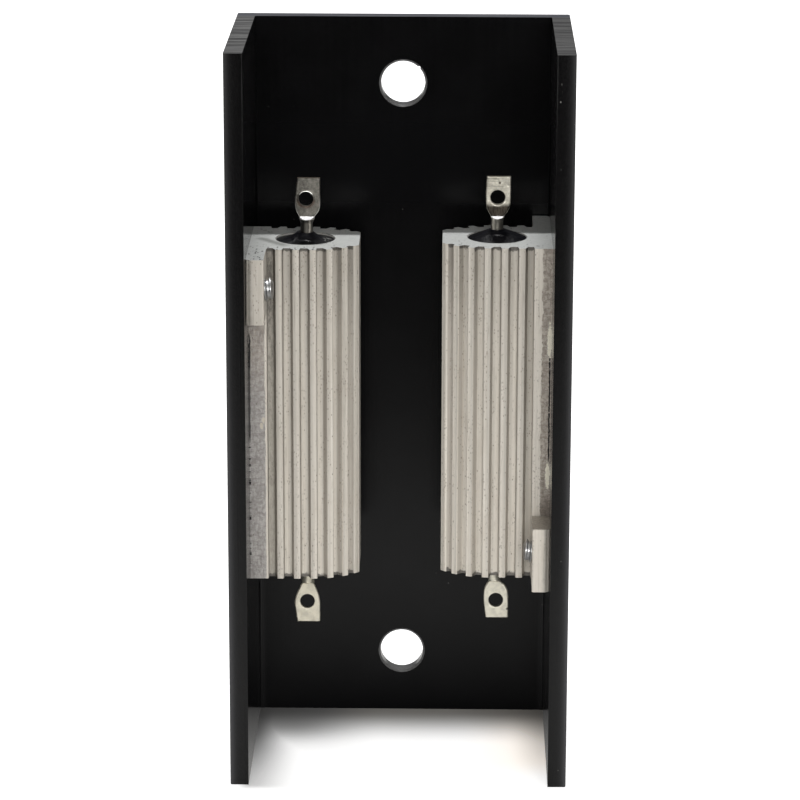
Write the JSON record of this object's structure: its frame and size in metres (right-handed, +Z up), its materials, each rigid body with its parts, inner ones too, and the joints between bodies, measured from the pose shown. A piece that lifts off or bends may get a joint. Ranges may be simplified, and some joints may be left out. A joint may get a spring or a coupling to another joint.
{
  "type": "ballast resistor",
  "caption": "Ribbed aluminium-housed power resistors side by side in a black anodised U-channel, with flat solder terminals at both ends.",
  "frame": {"origin": "centre of the footprint, on the surface the channel's sawn end stands on", "axes": "+X to the right and +Y to the back as seen from the open front, +Z up along the channel"},
  "size_m": [0.0496, 0.0356, 0.1092],
  "materials": {
    "anodised_channel": "black anodised, satin; sawn bare at both ends",
    "housing_alloy": "pale anodised extrusion, sawn ends, punched base sides",
    "moulding_compound": "moulded black compound",
    "ceramic": "unglazed rod",
    "resistance_wire": "bare resistance wire",
    "cap_steel": "plain pressed steel",
    "tinned_terminal": "hot tinned",
    "screw_steel": "zinc plated"
  },
  "bodies": {
    "root": {"channel": "anodised_channel", "left_housing": "housing_alloy", "left_moulding": "moulding_compound", "left_core": "ceramic", "left_winding": "resistance_wire", "left_top_cap": "cap_steel", "left_bottom_cap": "cap_steel", "left_top_terminal": "tinned_terminal", "left_bottom_terminal": "tinned_terminal", "left_front_screw": "screw_steel", "left_rear_screw": "screw_steel", "right_housing": "housing_alloy", "right_moulding": "moulding_compound", "right_core": "ceramic", "right_winding": "resistance_wire", "right_top_cap": "cap_steel", "right_bottom_cap": "cap_steel", "right_top_terminal": "tinned_terminal", "right_bottom_terminal": "tinned_terminal", "right_front_screw": "screw_steel", "right_rear_screw": "screw_steel"}
  },
  "joints": []
}
